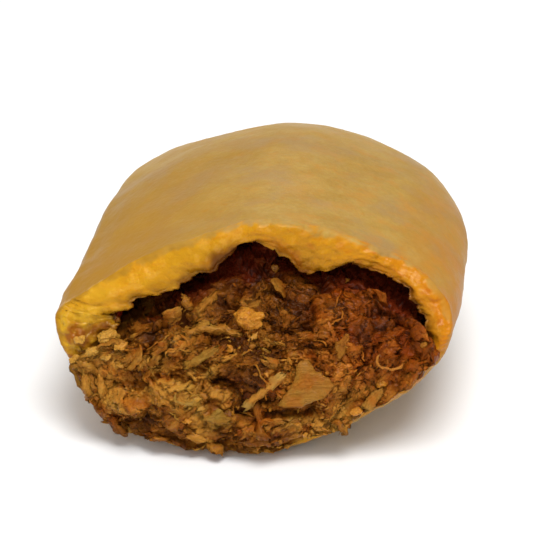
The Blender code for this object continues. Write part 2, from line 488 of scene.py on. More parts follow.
def finish_surface(n, shader, colour, roughness, height, distance, coat):
    bump = n.place("Bump", {"Height": height, "Distance": distance, "Strength": 1.0})[0]
    n.feed(shader, {"Base Color": colour, "Roughness": roughness, "Normal": bump, "Coat Weight": coat})


SKIN_PALE = (0.400, 0.247, 0.058, 1)
SKIN_DEEP = (0.338, 0.188, 0.033, 1)
SKIN_MAUVE = (0.328, 0.197, 0.074, 1)
SKIN_GOLD = (0.375, 0.170, 0.005, 1)
SKIN_BACK_SHEEN = (0.525, 0.330, 0.098, 1)
SKIN_WARM = (0.440, 0.200, 0.030, 1)
CHILE_FLECK = (0.430, 0.180, 0.018, 1)
FLANK_ORANGE = (0.450, 0.165, 0.006, 1)
TORN_PALE = (0.560, 0.275, 0.008, 1)
TORN_DEEP = (0.480, 0.190, 0.004, 1)
TORN_ORANGE = (0.480, 0.145, 0.003, 1)
TORN_DULL = (0.360, 0.160, 0.007, 1)
TORN_YELLOW = (0.590, 0.335, 0.018, 1)
TORN_CHILE = (0.400, 0.105, 0.004, 1)
LOWER_LEFT_DARK_CRUMB = (0.240, 0.054, 0.003, 1)
CRUMB_PALE = (0.560, 0.232, 0.022, 1)
CRUMB_DEEP = (0.360, 0.115, 0.009, 1)
CORNER_TAN = (0.460, 0.245, 0.036, 1)
SAUCE_BROWN = (0.085, 0.020, 0.002, 1)
CAVITY_STAIN_AND_SHADE = (0.320, 0.017, 0.005, 1)
HOLLOW_SHADE_RED = (0.115, 0.012, 0.003, 1)
MEAT_DARK = (0.045, 0.010, 0.0012, 1)
MEAT_MIDDLE = (0.258, 0.079, 0.0060, 1)
MEAT_PALE = (0.560, 0.252, 0.034, 1)
TAN_DARK = (0.090, 0.030, 0.0040, 1)
TAN_MIDDLE = (0.270, 0.125, 0.0150, 1)
TAN_PALE = (0.500, 0.280, 0.0580, 1)


def masa_material():
    """Skin pressed smooth by the husk, and the moist crumb where it is torn."""
    material, n, shader, spot = start_material(
        "steamed_masa", 0.12, (1.0, 0.45, 0.12), 0.0022, 0.26, (1.0, 0.74, 0.30, 1)
    )
    torn, behind, rightward = n.mark("torn"), n.mark("behind"), n.mark("rightward")
    along_husk = n.stretch(spot, (0.55, 1.0, 1.0))
    mottle_place = n.stretch(spot, (0.80, 1.0, 1.0))
    shades = {"Pale": SKIN_PALE, "Deep": SKIN_DEEP, "Fleck": CHILE_FLECK}
    scales = {"Patch_Scale": 210.0, "Fleck_Scale": 480.0, "Fleck_Share": 0.36}
    skin = n.use(DOUGH_MOTTLE, Place=mottle_place, **shades, **scales)["Colour"]
    bruise = n.spread(n.cloud(mottle_place, 125.0, 3.0), 0.50, 0.64, 0.0, 0.65)
    skin = n.blend(bruise, skin, SKIN_MAUVE)
    warm = n.spread(n.cloud(mottle_place, 300.0, 3.0, 0.6), 0.50, 0.66, 0.0, 0.55)
    skin = n.blend(n.times(warm, n.spread(rightward, 0.35, 0.80, 0.25, 1.0)), skin, SKIN_WARM)
    gilt = n.times(n.spread(behind, 0.0, 0.045, 0.85, 0.2), n.spread(rightward, 0.50, 0.15))
    skin = n.blend(gilt, skin, SKIN_GOLD)
    # Paler towards the closed end: painted sheen of light grazing over the back
    skin = n.blend(n.spread(behind, 0.034, 0.064, 0.0, 0.85), skin, SKIN_BACK_SHEEN)
    flank = n.times(n.spread(rightward, 0.80, 0.99), n.spread(behind, 0.010, 0.042, 0.9, 0.3))
    patchy = n.spread(n.cloud(spot, 230.0, 3.0), 0.36, 0.60, 0.45, 1.0)
    skin = n.blend(n.times(flank, patchy), skin, FLANK_ORANGE)
    band = n.mark("band", "Vector")
    shades = {"Pale": TORN_PALE, "Deep": TORN_DEEP, "Fleck": TORN_ORANGE}
    scales = {"Patch_Scale": 420.0, "Fleck_Scale": 300.0, "Fleck_Share": 0.6}
    crumb = n.use(DOUGH_MOTTLE, Place=band, **shades, **scales)["Colour"]
    crumb = n.blend(n.spread(rightward, 0.45, 1.0, 0.0, 0.8), crumb, TORN_ORANGE)
    dull = n.spread(n.cloud(band, 210.0, 2.0), 0.44, 0.62, 0.0, 0.5)
    crumb = n.blend(dull, crumb, TORN_DULL)
    chile = n.spread(n.cloud(band, 700.0, 2.0), 0.54, 0.68, 0.0, 0.75)
    crumb = n.blend(n.times(chile, n.spread(rightward, 0.40, 0.60)), crumb, TORN_CHILE)
    # Pale yellow patches on the left of the tear: partly the dough's own colour, partly painted highlight
    # where the light falls from the left
    yellow = n.spread(n.cloud(band, 260.0, 2.0), 0.36, 0.58, 0.25, 0.85)
    crumb = n.blend(n.times(yellow, n.spread(rightward, 0.20, 0.05)), crumb, TORN_YELLOW)
    # Darker crumb at the lower left of the mouth
    crumb = n.blend(n.mark("darker_lower_left"), crumb, LOWER_LEFT_DARK_CRUMB)
    colour = n.blend(torn, skin, crumb)
    # Sauce stain, deepened with painted shade towards the hollow
    colour = n.blend(n.mark("stain_and_shade"), colour, SAUCE_BROWN)
    # Deep in the hollow: partly the sauce's own red, partly painted shade
    colour = n.blend(n.mark("depth"), colour, CAVITY_STAIN_AND_SHADE)
    print_lines = n.reckon("SINE", n.times(behind, math.tau / (1.7 * MM)))
    faint = n.spread(n.cloud(along_husk, 160.0, 1.0), 0.4, 0.65, 0.00, 0.07)
    lines = n.times(print_lines, faint)
    grain = n.use(CORN_GRAIN, Place=spot, Grain_Scale=1100.0, Pit_Share=0.6)
    skin_height = n.plus(lines, n.times(grain["Height"], 0.28))
    lump = n.use(CORN_GRAIN, Place=spot, Grain_Scale=900.0, Pit_Share=0.5)
    torn_height = n.times(lump["Height"], 0.75)
    height = n.choose(torn, skin_height, torn_height)
    wet = n.use(MOIST_FILM, Place=spot, Film_Scale=200.0, Cover=0.42, Dry=0.60, Wet=0.42)
    juicy = n.use(MOIST_FILM, Place=spot, Film_Scale=420.0, Cover=0.60, Dry=0.48, Wet=0.28)
    rough = n.choose(torn, wet["Roughness"], juicy["Roughness"])
    coat = n.times(n.times(juicy["Film"], torn), 0.10)
    finish_surface(n, shader, colour, rough, height, 0.00010, coat)
    return material


def crumb_material():
    """Loose crumbs of masa, stained here and there by the sauce."""
    material, n, shader, spot = start_material(
        "masa_crumb", 0.12, (1.0, 0.45, 0.12), 0.0015, 0.25, (1.0, 0.75, 0.40, 1)
    )
    shades = {"Pale": CRUMB_PALE, "Deep": CRUMB_DEEP, "Fleck": SAUCE_BROWN}
    scales = {"Patch_Scale": 600.0, "Fleck_Scale": 500.0, "Fleck_Share": 0.6}
    colour = n.use(DOUGH_MOTTLE, Place=spot, **shades, **scales)["Colour"]
    x = n.place("SeparateXYZ", {0: spot})[0]
    colour = n.blend(n.spread(x, -0.018, -0.025, 0.0, 0.75), colour, CORNER_TAN)
    colour = n.blend(n.spread(n.mark("tone"), 0.0, 0.5, 0.75, 0.0), colour, SAUCE_BROWN)
    grain = n.use(CORN_GRAIN, Place=spot, Grain_Scale=1500.0, Pit_Share=0.5)
    film = n.use(MOIST_FILM, Place=spot, Film_Scale=600.0, Cover=0.55, Dry=0.5, Wet=0.28)
    coat = n.times(film["Film"], 0.12)
    finish_surface(n, shader, colour, film["Roughness"], grain["Height"], 0.00016, coat)
    return material


def beef_material(name, shades, cover, wet):
    material, n, shader, spot = start_material(
        name, 0.08, (1.0, 0.35, 0.15), 0.0010, 0.15, (1.0, 0.68, 0.32, 1)
    )
    dark, middle, pale = shades
    marks = {"Grain": n.mark("grain", "Vector"), "Tone": n.mark("tone")}
    meat = n.use(MEAT_FIBRE, Place=spot, Dark=dark, Middle=middle, Pale=pale, **marks)
    film = n.use(MOIST_FILM, Place=spot, Film_Scale=420.0, Cover=cover, Dry=0.62, Wet=wet)
    darker = n.times(film["Film"], 0.25)
    colour = n.blend(darker, meat["Colour"], SAUCE_BROWN)
    x, _, z = n.place("SeparateXYZ", {0: spot})
    chile = n.times(n.spread(x, 0.003, 0.017), n.spread(z, 0.009, 0.019, 0.15, 0.95))
    colour = n.blend(chile, colour, (1.0, 0.66, 0.50, 1), "MULTIPLY")
    # Painted shade: the meat turns dark red under the masa's roof
    colour = n.blend(n.mark("hollow"), colour, HOLLOW_SHADE_RED)
    grain = n.use(CORN_GRAIN, Place=spot, Grain_Scale=1900.0, Pit_Share=0.4)
    fibres = n.times(meat["Height"], 1.2)
    height = n.plus(fibres, n.times(grain["Height"], 0.25))
    coat = n.times(film["Film"], 0.06)
    finish_surface(n, shader, colour, film["Roughness"], height, 0.00030, coat)
    return material


# The masa


def masa_grid():
    """Rows of rings from the closed end over the skin to the tear, across it and back inside.

    With each row: how far it lies behind the tear, how torn it is, and how far in it is (1 at the
    lip's inner edge, and 1 more for each millimetre of the hollow).
    """
    angle = np.arange(ROUND) * math.tau / ROUND
    front = lip_line(angle) + fine_tear(angle)
    rows = []
    for step in np.linspace(0.995, 0.0, SKIN_ROWS, endpoint=False):
        back = (BACK_Y - front) * math.sin(0.5 * math.pi * step**1.15)
        rows.append((skin_form(angle, front + back), back, 0.0, 0.0))
    edge = skin_form(angle, front)
    inner_share, bite = wall_share(angle), bitten(angle)
    roof = np.maximum(np.sin(angle), 0.0)
    for step in np.linspace(0.0, 1.0, LIP_ROWS):
        row = shrink(edge, 1.0 + (inner_share - 1.0) * step + bite * step**4)
        swell = LIP_SWELL * math.sin(math.pi * min(step * 1.08, 1.0)) ** 0.7
        row[..., 1] = front - fine_tear(angle) * (1 - (1 - step) ** 3) - swell - LIP_LEAN * roof * step**1.3
        rows.append((row, 0.0, min(step * 12.0, 1.0), step))
    mouth = rows[-1][0]
    start = cavity_form(angle, np.zeros(ROUND))
    for step in np.linspace(0.0, 1.0, CAVITY_ROWS, endpoint=False)[1:]:
        along = step**1.7
        depth = along * (BACK_Y - MOUTH_Y)
        deep = cavity_form(angle, np.full(ROUND, along)) + (mouth - start) * math.exp(-depth / (4.0 * MM))
        rows.append((deep, 0.0, 1.0, 1.0 + depth / MM))
    grid = np.array([row[0] for row in rows])
    behind, torn, inward = (np.array([row[k] + np.zeros(ROUND) for row in rows]) for k in (1, 2, 3))
    return grid, behind, torn, inward, angle


def relief(grid, layers, seed):
    total = np.zeros(grid.shape[:2])
    for number, (size, height) in enumerate(layers):
        total += height * ripple(grid, size, seed + 7.3 * number)
    return total


SKIN = slice(0, SKIN_ROWS)
TORN = slice(SKIN_ROWS, None)


def raised_masa(grid, behind, torn, band, angle):
    """The masa with its relief: soft folds from the husk on the skin, smears and crumbs where torn."""
    out = np.zeros(grid.shape[:2])
    husk_way = grid[SKIN] * np.array((0.55, 1.0, 1.0))
    out[SKIN] = relief(husk_way, ((0.0090, 0.00026), (0.0034, 0.00008)), 3.0)
    out[SKIN] += relief(grid[SKIN], ((0.0050, 0.00014), (0.0012, 0.00005)), 9.0)
    # The skin stands a little proud along the tear, and a faint ridge runs down the left edge.
    out[SKIN] += PROUD_EDGE * np.exp(-behind[SKIN] / PROUD_FADE)
    ridge = near_angle(angle, *LEFT_RIDGE) * smooth_step(behind[SKIN], 0.0, 0.008)
    out[SKIN] += RIDGE_HEIGHT * ridge * (1 - smooth_step(behind[SKIN], 0.024, 0.052))
    left_crumble = 3.4 * near_angle(angle, *CRUMBLY_LEFT)
    right_crumble = 1.5 * near_angle(angle, *CRUMBLY_RIGHT)
    smears = relief(band[TORN], ((0.0040, 0.00050), (0.0018, 0.00032), (0.0009, 0.00012)), 15.0)
    crumbs = relief(grid[TORN], ((0.0019, 0.00016), (0.0009, 0.00009), (0.0004, 0.00005)), 25.0)
    rough = smears * (1.0 + 0.3 * left_crumble) + crumbs * (1.0 + left_crumble + right_crumble)
    out[TORN] = rough * np.minimum(0.25 + torn[TORN], 1.0)
    out *= smooth_step(np.arange(len(grid)), 0, 9)[:, None]
    raised = grid + grid_normals(grid) * out[..., None]
    raised[..., 2] = np.maximum(raised[..., 2], 0.0)
    return raised


def masa_marks(grid, behind, torn, inward, band, angle):
    """What the masa's finish reads: where it is torn; stained by sauce and darkened with painted shade towards
    the hollow; darker at the lower left; dark red deep in the hollow, partly with painted shade; and where it
    lies.
    """
    stain_and_shade, darker_lower_left, dark = np.zeros((3,) + grid.shape[:2])
    fray = relief(grid, ((0.0024, 1.0), (0.0008, 0.6)), 61.0)
    frayed = 1.3 * MM * fray[SKIN] + 0.5 * MM - behind[SKIN]
    torn[SKIN] = smooth_step(frayed, -0.2 * MM, 1.0 * MM)
    torn[TORN] = smooth_step(inward[TORN] + 0.14 * fray[TORN], 0.01, 0.13)
    blotch = relief(grid[TORN], ((0.0030, 1.0), (0.0012, 0.6)), 31.0)
    depth = inward[TORN]
    under_peak = near_angle(angle, *SHADED_PEAK)
    # Sauce stain on the torn crumb, deepened into painted shade towards the hollow and under the peak, where
    # the inner wall lies in shade
    stain_and_shade[TORN] = smooth_step(depth + 0.22 * blotch + 0.36 * under_peak, 0.45, 1.20) ** 1.4 * 0.95
    corner = near_angle(angle, *STAINED_LEFT) * smooth_step(depth, 0.12, 0.60)
    streaks = smooth_step(blotch, -0.05, 0.40)
    stain_and_shade[TORN] = np.maximum(stain_and_shade[TORN], corner * (0.04 + 0.50 * streaks))
    # The torn crumb is painted darker at the lower left, in patches that grow towards the hollow
    downward = smooth_step(angle, 171 * DEGREE, 187 * DEGREE)
    downward = downward * (1 - smooth_step(angle, 225 * DEGREE, 250 * DEGREE))
    mixed = 0.62 + 0.9 * relief(grid[TORN], ((0.0022, 1.0), (0.0009, 0.7)), 83.0)
    darker_lower_left[TORN] = np.clip(downward * mixed * smooth_step(depth + 0.2 * mixed, 0.0, 0.35), 0.0, 0.9)
    # Deep in the hollow the torn wall turns dark red: partly the sauce's own stain, partly painted shade where
    # little light reaches
    dark[TORN] = smooth_step(depth, 1.2, 4.0)
    # Each with its value at the two tips: the closed end and the hollow's bottom
    marks = {
        "torn": (torn, (0, 1)),
        "stain_and_shade": (stain_and_shade, (0, 1)),
        "darker_lower_left": (darker_lower_left, (0, 0)),
        "behind": (behind, (BACK_Y - MOUTH_Y, 0)),
        "rightward": ((grid[..., 0] + LEFT_HALF) / (LEFT_HALF + RIGHT_HALF), (0.5, 0.5)),
        "depth": (dark, (0, 1)),
    }
    marks = {label: np.append(values.ravel(), tips) for label, (values, tips) in marks.items()}
    marks["band"] = np.vstack([band.reshape(-1, 3), np.zeros((2, 3))])
    return marks


def masa_piece(material):
    grid, behind, torn, inward, angle = masa_grid()
    # A place along the torn band, so that smears run round the mouth
    reach = wall_reach(angle)
    round_way = np.stack([np.cos(angle) * reach, np.sin(angle) * reach], -1) * 0.34
    round_way = np.broadcast_to(round_way, grid.shape[:2] + (2,))
    band = np.concatenate([round_way, (inward * 0.0042)[..., None]], -1)
    grid = raised_masa(grid, behind, torn, band, angle)
    points, faces = closed_loft(grid, grid[0].mean(0), (0, BACK_Y - BACK_WALL, AXIS_Z))
    points = points + FIT
    marks = masa_marks(grid, behind, torn, inward, band, angle)
    piece = build_piece("masa_shell", points, faces, material, marks)
    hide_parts("masa")
    return BVHTree.FromPolygons(points.tolist(), faces)


def frame_fit():
    """The move from the maker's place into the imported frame."""
    low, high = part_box("masa")
    angle = np.arange(ROUND) * math.tau / ROUND
    sides = skin_form(angle, np.linspace(MOUTH_Y, BACK_Y, 40)[:, None])[..., 0]
    middle_x = (sides.min() + sides.max()) / 2
    return np.array(((low.x + high.x) / 2 - middle_x, high.y - BACK_Y, low.z))


FIT = frame_fit()


# The filling's core


def unit(vector):
    return vector / (np.linalg.norm(vector) + 1e-12)


VIEW = (7.0, 28.0)  # the azimuth and elevation of the front view
CAST_FROM = 0.1  # how far outside the food a ray that looks for its surface starts


def facing_from(azimuth, elevation):
    a, e = math.radians(azimuth), math.radians(elevation)
    return np.array((math.sin(a) * math.cos(e), -math.cos(a) * math.cos(e), math.sin(e)))


def view_axes(azimuth, elevation):
    toward = facing_from(azimuth, elevation)
    right = unit(np.cross((0, 0, 1.0), toward))
    return toward, right, np.cross(toward, right)


TOWARD, RIGHT, UPWARD = view_axes(*VIEW)


def in_view(points):
    """Millimetres across and up in the front view."""
    return points @ RIGHT / MM, points @ UPWARD / MM


def lay_direction(spot, normal, rng):
    """Which way the fibres lie there: rising right at upper left, upright at the right, mixed elsewhere."""
    x, z = spot[0] / MM, spot[2] / MM
    if z < 8:
        angle = rng.normal(5, 22)
    elif x < 1 and z > 17:
        angle = rng.normal(32, 12)
    elif x > 13:
        angle = rng.normal(78, 28)
    elif x < -8:
        angle = rng.normal(12, 45)
    else:
        angle = rng.uniform(-90, 90)
    angle = math.radians(angle)
    heading = np.array((math.cos(angle), 0.25 * rng.normal(), math.sin(angle)))
    return unit(heading - normal * float(heading @ normal))


# Meat pressed together in the heap: how many pieces, their half width, how much longer than wide they
# are, how far they stand out or in, how domed they are, how deep the seams between them run, and how
# far their outlines stray
CLUMPS = (44, 3.4 * MM, 1.6, 0.60 * MM, 0.75 * MM, 1.00 * MM, 1.6 * MM)
SHREDS = (320, 1.05 * MM, 4.0, 0.32 * MM, 0.24 * MM, 0.24 * MM, 0.9 * MM)
SCRAPS = (2400, 0.42 * MM, 1.9, 0.07 * MM, 0.07 * MM, 0.09 * MM, 0.45 * MM)
# The deepest crevices of the heap, sunk and darkened with painted shade, and its palest ridges, raised and
# lightened with painted highlight, as lines of millimetres across and up in the front view, each with its half
# width
RIFTS = (
    (0.75, ((-11.5, -7.0), (-7.0, -8.8), (-1.0, -8.6), (3.5, -7.9), (7.5, -8.0))),
    (0.40, ((-16.0, -2.6), (-12.5, -3.2), (-9.0, -3.0), (-6.0, -4.2))),
    (0.50, ((-10.5, 11.2), (-7.8, 9.6), (-5.4, 8.0))),
    (0.45, ((5.0, 2.6), (6.2, 0.6), (5.2, -1.0))),
    (0.55, ((12.0, -3.5), (14.5, -1.0), (15.0, 2.5))),
)
RIDGES = (
    (0.70, ((-29.0, -6.6), (-24.0, -7.4), (-17.5, -6.4), (-13.0, -6.6))),
    (0.80, ((-20.5, -3.0), (-17.0, -4.4), (-14.0, -4.2))),
    (0.90, ((-18.0, 2.5), (-14.0, 5.5), (-9.5, 7.2))),
    (0.80, ((-12.5, 9.2), (-7.0, 12.4), (-1.0, 13.6))),
    (0.70, ((-9.0, -11.0), (-5.5, -10.6), (-2.5, -11.6))),
    (0.60, ((9.0, 6.0), (12.5, 3.0), (13.0, -0.5))),
)
# Broad paler and darker areas of the heap: across, up and half width in mm, and how much paler
AREAS = (
    *((-26.5, -3.0, 4.5, 0.14), (-11.0, -2.0, 4.0, 0.06), (4.0, 1.0, 4.0, 0.18), (-4.0, -5.0, 3.0, -0.08)),
    *((12.0, -2.0, 4.0, 0.22), (5.0, -11.0, 4.0, 0.22), (-20.5, -11.0, 4.0, -0.26), (-11.0, -11.0, 3.0, 0.06)),
    *((4.0, 8.5, 5.5, -0.24), (13.5, 7.0, 5.5, -0.18), (-20.5, 6.0, 3.5, -0.26), (20.0, 3.0, 5.0, -0.24)),
    *((10.5, 1.8, 3.2, 0.14), (0.0, 3.5, 3.0, 0.06)),
    *((-5.0, 11.0, 4.0, -0.16), (-12.0, 5.0, 3.5, -0.08), (11.0, -9.0, 3.0, 0.08), (-20.0, 1.0, 3.5, 0.05)),
)
NEAR_PIECES = 7
SEAM_WIDTH = 0.30


def pressed(points, normals, area, kind, rng):
    """Relief, seams, shade and fibre place of meat pressed together from pieces of one kind."""
    count, size, stretch, stand, dome, seam_depth, stray = kind
    picks = rng.choice(len(points), count, replace=False, p=area / area.sum())
    middles = points[picks]
    ways = np.array([lay_direction(points[i], normals[i], rng) for i in picks])
    sides = np.cross(normals[picks], ways)
    girths, stands, shades = rng.uniform(0.7, 1.4, count), rng.normal(0, 1, count), rng.normal(0, 1, count)
    tree = KDTree(count)
    for number, middle in enumerate(middles.tolist()):
        tree.insert(middle, number)
    tree.balance()
    wide = 0.9 * size + 0.4 * MM
    strays = [ripple(points, wide, seed) + 0.5 * ripple(points, 0.45 * MM, seed) for seed in (3, 33, 63)]
    strayed = points + stray * np.stack(strays, -1)
    near = np.array([[hit[1] for hit in tree.find_n(point, NEAR_PIECES)] for point in strayed.tolist()])
    offset = strayed[:, None] - middles[near]
    along = (offset * ways[near]).sum(-1)
    around = np.sqrt(np.maximum((offset**2).sum(-1) - along**2, 0.0))
    far = np.hypot(along / stretch, around) / (size * girths[near])
    order = np.argsort(far, axis=1)
    pick = np.arange(len(points)), order[:, 0]
    first, second, number = far[pick], far[np.arange(len(points)), order[:, 1]], near[pick]
    seam = np.exp(-(second - first) / SEAM_WIDTH)
    across = (offset[pick] * sides[number]).sum(-1)
    place_in_piece = np.stack([across, along[pick], number * 7.7 * MM], -1)
    cords = ripple(place_in_piece / np.array((0.46, 3.6, 1.0)), MM, 4.0)
    cords += 0.5 * ripple(place_in_piece / np.array((0.24, 2.0, 1.0)), MM, 9.0)
    height = stand * stands[number] + dome * (1.0 - np.minimum(first, 1.3) ** 2) - seam_depth * seam
    return height, cords, seam, shades[number], place_in_piece


def nearness(across, up, lines):
    """1 on any of the lines, and 0 a few of their half widths away."""
    best = np.zeros_like(across)
    for half_width, line in lines:
        for (x0, z0), (x1, z1) in zip(line, line[1:]):
            way = np.array((x1 - x0, z1 - z0))
            share = np.clip(((across - x0) * way[0] + (up - z0) * way[1]) / (way @ way), 0.0, 1.0)
            away = np.hypot(across - x0 - share * way[0], up - z0 - share * way[1])
            best = np.maximum(best, hump(away, 0.0, half_width))
    return best


def paler(across, up):
    return sum(
        shift * np.exp(-((across - x) ** 2 + (up - z) ** 2) / half**2) for x, z, half, shift in AREAS
    )


def in_hollow(points):
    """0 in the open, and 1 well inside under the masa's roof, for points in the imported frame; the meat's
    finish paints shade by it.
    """
    x, y, z = (points - FIT).T
    angle = np.arctan2(z - AXIS_Z, x)
    return smooth_step(y - lip_line(angle), -0.5 * MM, 3.5 * MM) * smooth_step(np.sin(angle), -0.15, 0.12)


def core_grid(angle):
    """Rows of rings from the hollow's bottom to the mouth, over its rim and on to the heap's middle."""
    rows = []
    for step in np.linspace(1.0, 0.0, CORE_REAR_ROWS):
        along = math.sin(0.5 * math.pi * step**2.1) if step < 1.0 else 0.9995
        row = cavity_form(angle, np.full(CORE_ROUND, along), GAP)
        behind = (row[..., 1] - lip_line(angle)) / ROOF_GAP_DEPTH
        fade = np.clip(1.0 - behind, 0.0, 1.0)
        reach = length_of(row - axis_at(row[..., 1]))[..., 0]
        rows.append(shrink(row, 1.0 - between(ROOF_GAP, angle) * fade**1.5 / reach))
    mouth = rows[-1]
    reach = length_of(mouth - axis_at(mouth[..., 1]))[..., 0]
    for share in np.linspace(0.1, 1.0, RIM_ROWS):
        out = shrink(mouth, 1.0 + share * between(SPILL, angle) / reach)
        out[..., 1] -= SPILL_CLEAR * math.sqrt(share) + share * SPILL_SAG * np.maximum(-np.sin(angle), 0.0)
        rows.append(out)
    rim = rows[-1]
    for step in np.linspace(0.0, 1.0, HEAP_ROWS, endpoint=False)[1:]:
        share = 1.0 - step
        point = HEAP_MIDDLE + (rim - HEAP_MIDDLE) * share
        bulge = 1.0 - share**2.4
        slope = HEAP_Y + (point[..., 2] - HEAP_FOOT_Z) * HEAP_SLOPE
        point[..., 1] = rim[..., 1] + (slope - rim[..., 1]) * bulge
        lump = HEAP_LUMP * ripple(point, HEAP_LUMP_SIZE)
        point[..., 1] += lump * min(1.0, 3.0 * (1.0 - share))
        rows.append(point)
    return np.array(rows)


def core_piece(material):
    """The heap without its loose bits, a little smaller than the solid model's filling."""
    angle = np.arange(CORE_ROUND) * math.tau / CORE_ROUND
    grid = core_grid(angle)
    normals = grid_normals(grid)
    to_pole = smooth_step(np.arange(len(grid)) / len(grid), 0.86, 0.97)[:, None, None]
    normals = normals * (1 - to_pole) + np.array((0.0, -1.0, 0.2)) * to_pole
    normals /= length_of(normals) + 1e-12
    edges = np.roll(grid, -1, 1) - grid
    area = np.linalg.norm(np.cross(edges, np.gradient(grid, axis=0)), axis=-1)
    area[: CORE_REAR_ROWS // 2] *= 0.05
    flat, facing = grid.reshape(-1, 3), normals.reshape(-1, 3)
    rng = np.random.default_rng(5)
    clumps, _, rift, clump_shade, _ = pressed(flat, facing, area.ravel(), CLUMPS, rng)
    shreds, cords, seam, shade, inside = pressed(flat, facing, area.ravel(), SHREDS, rng)
    scraps, _, fine_seam, fine_shade, _ = pressed(flat, facing, area.ravel(), SCRAPS, rng)
    out = clumps + shreds + scraps + cords * 0.32 * MM
    out += relief(grid, ((0.0008, 0.00014), (0.0004, 0.00006)), 5.0).ravel()
    row_of = np.repeat(np.arange(len(grid)), CORE_ROUND)
    from_rim = (row_of - CORE_REAR_ROWS - RIM_ROWS + 1) / HEAP_ROWS
    roofed = np.tile(smooth_step(np.sin(angle), 0.05, 0.35), len(grid))
    roofed = roofed * (1 - smooth_step(from_rim, 0.0, 0.22))
    low_rim = np.tile(smooth_step(-np.sin(angle), 0.3, 0.7), len(grid))
    low_rim = low_rim * (1 - smooth_step(from_rim, 0.0, 0.2))
    out = out * (1 - 0.15 * low_rim) - 0.55 * MM - 0.5 * MM * roofed
    stray = 1.1 * ripple(flat, 2.2 * MM, 71.0)
    across, up = in_view(flat + FIT)
    across, up = across + stray, up + stray[::-1]
    crevice, ridge = nearness(across, up, RIFTS), nearness(across, up, RIDGES)
    crevice, ridge = crevice * (row_of > CORE_REAR_ROWS), ridge * (row_of > CORE_REAR_ROWS)
    out += 0.55 * MM * ridge - 0.95 * MM * crevice
    grid = (flat + facing * out[:, None]).reshape(grid.shape)
    points, faces = closed_loft(grid, grid[0].mean(0), grid[-1].mean(0))
    points = points + FIT
    points[:, 2] = np.maximum(points[:, 2], LOWEST)
    height = grid[..., 2].ravel() / MM
    patches = relief(grid, ((0.0036, 0.30), (0.0013, 0.14)), 44.0).ravel()
    # The meat's own patchy tone, paler towards the left, with painted shade: darker in the seams between
    # pieces, in the rifts and crevices, near the top of the heap and under the masa's roof; and painted
    # highlight on the pale ridges
    tone = 0.600 + 0.09 * clump_shade + 0.05 * shade + 0.015 * fine_shade + 0.12 * cords + patches
    tone -= 0.24 * rift + 0.07 * seam + 0.02 * fine_seam + 0.34 * crevice
    tone += 0.10 * smooth_step(-across, 6.0, 18.0) - 0.06 * smooth_step(height, 22.0, 29.0) + 0.14 * ridge
    tone = (tone + paler(across, up)) * (1 - 0.35 * roofed)
    marks = {
        "grain": np.vstack([inside, np.zeros((2, 3))]),
        "tone": np.append(np.clip(tone, 0, 1), (0, 0)),
        # painted shade under the masa's roof
        "hollow": 0.85 * in_hollow(points),
    }
    piece = build_piece("beef_core", points, faces, material, marks)
    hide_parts("filling")
    return BVHTree.FromPolygons(points.tolist(), faces)


# Loose bits


def roughened(points):
    """The same body, torn and knobbly."""
    coarse, fine = ([ripple(points, size, seed) for seed in (5, 45, 85)] for size in (1.1 * MM, 0.4 * MM))
    return points + MM * (0.42 * np.stack(coarse, -1) + 0.20 * np.stack(fine, -1))


class Bits:
    """Many small closed bodies gathered into one piece."""

    def __init__(self):
        self.points, self.faces, self.tone, self.grain, self.count = [], [], [], [], 0

    def add(self, body, tone):
        points, faces, grain = body
        points = roughened(points)
        points[:, 2] = np.maximum(points[:, 2], LOWEST)
        self.points.append(points)
        self.faces += [tuple(i + self.count for i in face) for face in faces]
        self.tone.append(np.full(len(points), tone))
        self.grain.append(grain)
        self.count += len(points)

    def build(self, name, material, node_slot):
        points = np.vstack(self.points)
        marks = {"tone": np.concatenate(self.tone), "grain": np.vstack(self.grain)}
        # Painted shade under the masa's roof
        marks["hollow"] = 0.9 * in_hollow(points)
        return build_piece(name, points, self.faces, material, marks)


LOFT_FACES = {}


def loft_faces(rings, sides):
    """Faces of a small closed loft, shared by all bits of that size."""
    if (rings, sides) not in LOFT_FACES:
        grid = np.zeros((rings, sides, 3))
        LOFT_FACES[rings, sides] = closed_loft(grid, np.zeros(3), np.zeros(3))[1]
    return LOFT_FACES[rings, sides]


